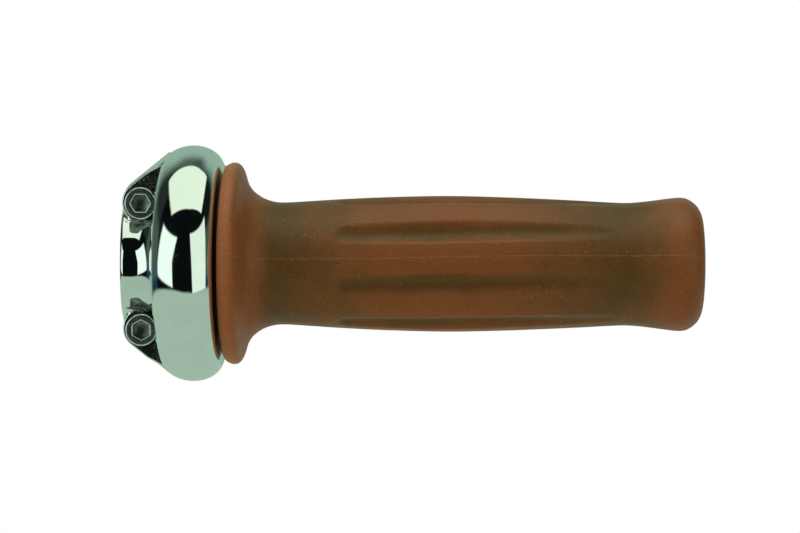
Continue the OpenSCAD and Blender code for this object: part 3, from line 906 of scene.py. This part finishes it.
def plastic(name, dark, light, lo, hi, grain_mm=0.5, depth=0.02, streak=False):
    m = Mat(name, Metallic=0.0)
    m.b.inputs["Specular IOR Level"].default_value = 0.42
    grain = m.noise(1.0, 3.0, 0.6, m.stretch(9.0, grain_mm, grain_mm)) if streak else m.noise(grain_mm, 3.0, 0.6)
    m.set(Base_Color=m.mix(m.fit(m.noise(4.0, 4.0), 0.3, 0.7), dark, light), Roughness=m.fit(grain, 0.3, 0.7, lo, hi))
    m.bump(grain, depth)
    return m.m


def fibre_mat():
    m = Mat("woven_friction_fibre", Metallic=0.0)
    strands = m.noise(1.0, 4.0, 0.7, m.stretch(0.18, 0.9, 0.9), 0.6)
    m.set(Base_Color=m.mix(m.fit(strands, 0.35, 0.65), (0.05, 0.032, 0.02), (0.19, 0.12, 0.065)),
          Roughness=m.fit(strands, 0.3, 0.7, 0.75, 0.92))
    m.bump(strands, 0.08)
    return m.m


def gum_rubber():
    """Translucent brown gum rubber: olive and dark where it is thin over the black tube, redder where the sleeve is
    deeper, with a painted shade on the flange's far slope.
    """
    m = Mat("brown_gum_rubber", Metallic=0.0)
    m.b.inputs["Specular IOR Level"].default_value = 0.36
    m.b.inputs["Sheen Weight"].default_value = 0.05
    m.b.inputs["Sheen Roughness"].default_value = 0.4
    m.b.inputs["Subsurface Weight"].default_value = 0.12
    m.b.inputs["Subsurface Radius"].default_value = (1.0, 0.35, 0.12)
    m.b.inputs["Subsurface Scale"].default_value = 0.0015
    # this value carries the sleeve's thickness and, on the flange's far slope, a painted shade
    t = m.value("thickness_and_painted_shade")
    mottle = m.noise(9.0, 3.0, 0.5)
    t = m.math("ADD", t, m.fit(mottle, 0.25, 0.75, -0.45, 0.45))
    base = m.mix(m.fit(t, 2.5, 4.6, smooth=True), THIN, LAND)
    base = m.mix(m.fit(t, 5.0, 8.5, smooth=True), base, FULL)
    # fine grain of the compound, and pale bits of filler
    grain = m.noise(0.32, 4.0, 0.75)
    base = m.mix(m.fit(grain, 0.36, 0.64, 0.0, 0.62), base, m.mix(1.0, base, (0.47, 0.45, 0.40), "MULTIPLY"))
    rusty = m.noise(0.55, 3.0, 0.7)
    base = m.mix(m.fit(rusty, 0.46, 0.62, 0.0, 0.6), base, m.mix(1.0, base, (1.55, 1.25, 1.0), "MULTIPLY"))
    bits = m.cells(1.9)
    near = m.fit(bits.outputs["Distance"], 0.055, 0.11, 1.0, 0.0)
    some = m.fit(m.node_colour(bits), 0.52, 0.56)
    base = m.mix(m.math("MULTIPLY", m.math("MULTIPLY", near, some), 0.75), base, lin("#b98d5c"))
    # the mould's parting line rubs pale in dashes
    dash = m.noise(1.0, 3.0, 0.7, m.stretch(2.2, 400.0, 400.0))
    line = m.math("MULTIPLY", m.math("MULTIPLY", m.value("mould"), m.fit(dash, 0.40, 0.58)), 0.75)
    base = m.mix(line, base, lin("#a5754a"))
    m.set(Base_Color=base)
    soft = m.noise(3.0, 3.0, 0.55)
    m.set(Roughness=m.math("ADD", m.fit(soft, 0.3, 0.7, 0.38, 0.50), m.fit(grain, 0.3, 0.7, -0.03, 0.05)))
    m.bump(m.math("ADD", grain, m.math("MULTIPLY", m.noise(1.6, 2.0), 1.5)), 0.02)
    return m.m


THIN, LAND, FULL = (0.141, 0.070, 0.0172), (0.322, 0.102, 0.0305), (0.50, 0.168, 0.070)


def cell_colour(self, voronoi):
    n = self.node("SeparateColor")
    self.link(voronoi.outputs["Color"], n.inputs[0])
    return n.outputs[0]


Mat.node_colour = cell_colour

CHROME, PAD, ALLOY = chrome(), cast_dark(), cast_alloy()
SCREW = steel_mat("screw_steel", (0.19, 0.22, 0.20), (0.34, 0.38, 0.34), 0.28, 0.44, stain=(0.08, 0.09, 0.08), depth=0.014)
# painted highlight: a much brighter copy of the screw steel, stands in for the bright lines that light draws along the
# heads' rolled edges and the sockets' lead-in
SCREW_EDGE_HIGHLIGHT = steel_mat("screw_edges_painted_highlight", (0.74, 0.80, 0.73), (0.88, 0.93, 0.87), 0.20, 0.30, stain=(0.45, 0.48, 0.43), depth=0.004)
PLATED = steel_mat("zinc_plate", (0.50, 0.51, 0.49), (0.64, 0.65, 0.62), 0.20, 0.36, stain=(0.36, 0.37, 0.33))
STEEL = steel_mat("ground_steel", (0.44, 0.44, 0.44), (0.56, 0.56, 0.55), 0.16, 0.3, depth=0.006)
DRUM = steel_mat("die_cast_zinc", (0.34, 0.34, 0.35), (0.45, 0.45, 0.45), 0.34, 0.52, stain=(0.24, 0.22, 0.18), grain_mm=0.5, depth=0.03)
BRASS = brass_mat()
NYLON = plastic("nylon", (0.55, 0.51, 0.38), (0.66, 0.61, 0.47), 0.34, 0.5)
SEAL = plastic("seal_rubber", (0.012, 0.012, 0.012), (0.024, 0.024, 0.023), 0.5, 0.66)
TUBE = plastic("tube_black", (0.010, 0.010, 0.011), (0.020, 0.020, 0.021), 0.3, 0.46, streak=True)
FIBRE = fibre_mat()
GUM = gum_rubber()


# ------------------------------------------------------------------ dressing the pieces
def dress_casting(obj, side):
    c, n = face_data(obj)
    inner = np.zeros(len(c), dtype=int)
    depth = shell(*c.T)
    inner[depth < -0.22] = 2
    pad = (abs(c[:, 1] * side - PAD_Y) < 0.34) & (n[:, 1] * side > 0.25) & (c[:, 0] < 6.5) & (pad_depth(*c.T, side) > -0.2)
    inner[pad] = 1
    v = np.empty(len(obj.data.vertices) * 3)
    obj.data.vertices.foreach_get("co", v)
    attribute(obj, "pad", pad_depth(*(v.reshape(-1, 3) / MM).T, side))
    skin(obj, [CHROME, PAD, ALLOY], inner)


dress_casting(housing_front, -1)
dress_casting(housing_rear, 1)
skin(grip, [GUM])
c, n = face_data(screws)
deep, off = c[:, 1] + PAD_Y + 5.0, np.hypot(c[:, 0] - SCREW_X, abs(c[:, 2]) - SCREW_Z)
# the rolled edges and the socket's lead-in get the painted-highlight copy of the steel
skin(screws, [SCREW, SCREW_EDGE_HIGHLIGHT], (deep < 0.40) & (n[:, 1] > -0.985) & (n[:, 1] < -0.1) & ((off > HEAD_R - 0.40) | (off < 2.72)))
for o in (adjuster_obj, adjuster_nut, thumb, thumb_nut):
    skin(o, [PLATED])
skin(ferrule_obj, [BRASS])
skin(guide_obj, [NYLON])

for o, node, body, slot in (
        (housing_front, "housing_front", "housing", "chrome"), (housing_rear, "housing_rear", "housing", "chrome"),
        (screws, "clamp_screws", "housing", "screw_steel"), (grip, "grip_rubber", "twist_grip", "grip_rubber"),
        (adjuster_obj, "cable_adjuster", "cable_adjuster_body", "plated_steel"),
        (adjuster_nut, "adjuster_locknut", "housing", "plated_steel"),
        (ferrule_obj, "cable_ferrule", "cable_ferrule_body", "brass"), (guide_obj, "cable_guide", "housing", "nylon"),
        (thumb, "friction_screw", "friction_screw_body", "plated_steel"),
        (thumb_nut, "friction_locknut", "housing", "plated_steel")):
    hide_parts(node)
    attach(o, body)

kept = {"locating_dowels": STEEL, "stop_pin": STEEL, "inner_thrust_washer": NYLON, "outer_thrust_washer": STEEL,
        "drum_bush": BRASS, "dust_seal": SEAL, "throttle_tube": TUBE, "cable_drum": DRUM, "drum_pins": STEEL,
        "friction_shoe": FIBRE}
for o in bpy.data.objects:
    if o.type == "MESH" and o.name in kept:
        if o.data.materials:
            for i in range(len(o.data.materials)):
                o.data.materials[i] = kept[o.name]
        else:
            o.data.materials.append(kept[o.name])


# ------------------------------------------------------------------ studio
def studio():
    """Soft boxes and dark flags, placed by the direction they are seen in from the object. To the camera it is all plain white."""
    world = bpy.data.worlds.new("studio")
    bpy.context.scene.world = world
    world.use_nodes = True
    t = world.node_tree
    t.nodes.clear()

    def node(kind, **props):
        n = t.nodes.new("ShaderNode" + kind)
        for k, v in props.items():
            setattr(n, k, v)
        return n

    def put(socket, v):
        if isinstance(v, (int, float)):
            socket.default_value = v
        elif isinstance(v, tuple):
            socket.default_value = (*v, 1.0)
        else:
            t.links.new(v, socket)

    def math2(op, a, b=0.0, c=None):
        n = node("Math", operation=op)
        put(n.inputs[0], a)
        put(n.inputs[1], b)
        if c is not None:
            put(n.inputs[2], c)
        return n.outputs[0]

    def edge(x, a, b):
        """0 below a, 1 above b, smoothly; a may be above b."""
        n = node("MapRange", interpolation_type="SMOOTHSTEP")
        put(n.inputs["Value"], x)
        lo, hi, c, d = (a, b, 0.0, 1.0) if a < b else (b, a, 1.0, 0.0)
        for key, v in (("From Min", lo), ("From Max", hi), ("To Min", c), ("To Max", d)):
            n.inputs[key].default_value = v
        return n.outputs[0]

    def both(*parts):
        out = parts[0]
        for p in parts[1:]:
            out = math2("MULTIPLY", out, p)
        return out

    def paint(base, mask, colour):
        n = node("Mix", data_type="RGBA")
        put(n.inputs[0], mask)
        put(n.inputs[6], base)
        put(n.inputs[7], colour)
        return n.outputs[2]

    way = node("VectorMath", operation="NORMALIZE")
    t.links.new(node("TexCoord").outputs["Generated"], way.inputs[0])
    xyz = node("SeparateXYZ")
    t.links.new(way.outputs[0], xyz.inputs[0])
    x, y, z = xyz.outputs
    az = math2("MULTIPLY", math2("ARCTAN2", x, math2("MULTIPLY", y, -1.0)), 180 / math.pi)
    el = math2("MULTIPLY", math2("ARCSINE", z), 180 / math.pi)
    wide = math2("ABSOLUTE", az)
    up = math2("MAXIMUM", z, 0.02)
    px, py = math2("DIVIDE", x, up), math2("DIVIDE", y, up)

    room, floor, dark = (0.30, 0.455, 0.36), (0.372, 0.515, 0.41), (0.003, 0.004, 0.0042)
    c = paint(room, edge(el, 38, 62), (0.078, 0.12, 0.095))
    # dim sides: nearly black high up, paler and then bluish towards the floor
    side = paint((0.018, 0.027, 0.021), edge(el, 27, 14), (0.065, 0.10, 0.078))
    side = paint(side, edge(el, 3, -5), (0.042, 0.095, 0.115))
    side = paint(side, edge(el, -5, -10), (0.014, 0.036, 0.058))
    c = paint(c, edge(az, -154, -118), side)
    c = paint(c, edge(az, 124, 158), paint(room, edge(el, 38, 62), (0.078, 0.12, 0.095)))
    c = paint(c, both(edge(az, 124, 166), edge(az, 180, 158)), paint(room, edge(el, 34, 56), (0.055, 0.085, 0.067)))
    c = paint(c, both(edge(az, 60, 90), edge(az, 128, 118), edge(el, 14, 24)), (0.006, 0.009, 0.008))
    # the dark front half with the camera in it
    c = paint(c, edge(wide, 92, 80), dark)
    # white card to the left of the camera, and one to the right
    left = math2("ADD", -83.0, math2("MULTIPLY", math2("MAXIMUM", el, 0.0), 0.45))
    stem = math2("MAXIMUM", math2("ADD", -33.0, math2("MULTIPLY", el, 0.5)), -30.5)
    top = math2("ADD", 27.8, math2("MULTIPLY", math2("ADD", az, 22.0), -0.04))
    foot = math2("ADD", -17.0, math2("MULTIPLY", math2("ADD", az, 38.0), -0.233))
    c = paint(c, both(edge(math2("SUBTRACT", az, left), -4, 3), edge(math2("SUBTRACT", az, stem), 1.2, -1.2),
                      edge(math2("SUBTRACT", el, top), 1.0, -1.0), edge(math2("SUBTRACT", el, foot), -1.5, 1.5)), (0.95, 1.10, 1.0))
    stem = math2("ADD", 24.8, math2("MULTIPLY", el, -0.135))
    foot = math2("ADD", -25.0, math2("MULTIPLY", math2("ADD", az, -29.0), 0.19))
    c = paint(c, both(edge(math2("SUBTRACT", az, stem), -1.2, 1.2), edge(az, 87, 82), edge(el, 32.5, 30.0),
                      edge(math2("SUBTRACT", el, foot), -1, 1)), (0.80, 0.96, 0.80))
    # the floor
    near = math2("MAXIMUM", math2("MAXIMUM", -24.3, math2("ADD", -24.6, math2("MULTIPLY", az, -0.115))), foot)
    near = math2("MINIMUM", near, -9.0)
    c = paint(c, edge(math2("SUBTRACT", el, near), 1.5, -1.5), floor)
    # the overhead soft box
    front = math2("MAXIMUM", math2("ADD", -0.645, math2("MULTIPLY", px, 0.06)), math2("ADD", -0.693, math2("MULTIPLY", px, 0.26)))
    back = math2("MAXIMUM", math2("ADD", 0.42, math2("MULTIPLY", px, 0.10)), math2("ADD", 0.30, math2("MULTIPLY", px, 0.38)))
    right = math2("ADD", 1.02, math2("MULTIPLY", py, -0.34))
    c = paint(c, both(edge(px, -0.82, -0.70), edge(math2("SUBTRACT", px, right), 0.05, -0.05), edge(math2("SUBTRACT", py, front), -0.02, 0.03),
                      edge(math2("SUBTRACT", py, back), 0.03, -0.03), edge(z, 0.25, 0.40)), (0.84, 0.99, 0.78))

    lamp, white = node("Background"), node("Background")
    put(lamp.inputs[0], c)
    # matt surfaces get more than the chrome does, except from the right
    more = math2("ADD", 0.68, math2("MULTIPLY", both(edge(az, 5, 45), edge(az, 176, 150)), -1.18))
    put(lamp.inputs[1], math2("ADD", 1.0, math2("MULTIPLY", node("LightPath").outputs["Is Diffuse Ray"], more)))
    white.inputs[0].default_value = (1, 1, 1, 1)
    white.inputs[1].default_value = 1.0
    pick, out = node("MixShader"), node("OutputWorld")
    t.links.new(node("LightPath").outputs["Is Camera Ray"], pick.inputs[0])
    t.links.new(lamp.outputs[0], pick.inputs[1])
    t.links.new(white.outputs[0], pick.inputs[2])
    t.links.new(pick.outputs[0], out.inputs[0])


studio()


def pale_floor(tint):
    """A plain pale table just under the part. In the chrome, the studio's own floor is seen instead."""
    h, z = 320.0, -31.0
    obj = mesh_object("pale_floor", [(64 - h, -h, z), (64 + h, -h, z), (64 + h, h, z), (64 - h, h, z)], [[0, 1, 2, 3]], smooth=False)
    m = bpy.data.materials.new("pale_floor")
    m.use_nodes = True
    t = m.node_tree
    t.nodes.clear()
    a, b = t.nodes.new("ShaderNodeEmission"), t.nodes.new("ShaderNodeEmission")
    a.inputs[0].default_value, b.inputs[0].default_value = (*tint, 1), (1, 1, 1, 1)
    pick, out = t.nodes.new("ShaderNodeMixShader"), t.nodes.new("ShaderNodeOutputMaterial")
    t.links.new(t.nodes.new("ShaderNodeLightPath").outputs["Is Camera Ray"], pick.inputs[0])
    t.links.new(a.outputs[0], pick.inputs[1])
    t.links.new(b.outputs[0], pick.inputs[2])
    t.links.new(pick.outputs[0], out.inputs[0])
    obj.data.materials.append(m)
    obj.visible_glossy = False


pale_floor((0.45, 0.42, 0.22))


def overhead():
    """A large soft light above, for the matt surfaces."""
    data = bpy.data.lights.new("overhead", "AREA")
    data.shape, data.size, data.size_y = "RECTANGLE", 1.3, 0.9
    data.color, data.energy = (0.86, 1.0, 0.86), 2.2
    lamp = link(bpy.data.objects.new("overhead", data))
    lamp.location = (0.064, -0.12, 0.9)
    lamp.visible_glossy = False
    lamp.visible_camera = False


overhead()

DIST, ELEV, YAW, AIM = 0.65, math.radians(3.9), math.radians(2.0), (0.0638, 0.0, -0.0007)
cam_data = bpy.data.cameras.new("camera")
cam_data.sensor_width = 36.0
cam_data.lens = 36.0 * DIST / 0.2
cam_data.clip_start, cam_data.clip_end = 0.01, 10.0
camera = link(bpy.data.objects.new("camera", cam_data))
camera.location = (AIM[0] + DIST * math.cos(ELEV) * math.sin(YAW), AIM[1] - DIST * math.cos(ELEV) * math.cos(YAW),
                   AIM[2] + DIST * math.sin(ELEV))
camera.rotation_euler = (math.pi / 2 - ELEV, 0, YAW)
bpy.context.scene.camera = camera
bpy.context.scene.view_settings.view_transform = "Standard"
bpy.context.scene.view_settings.look = "None"
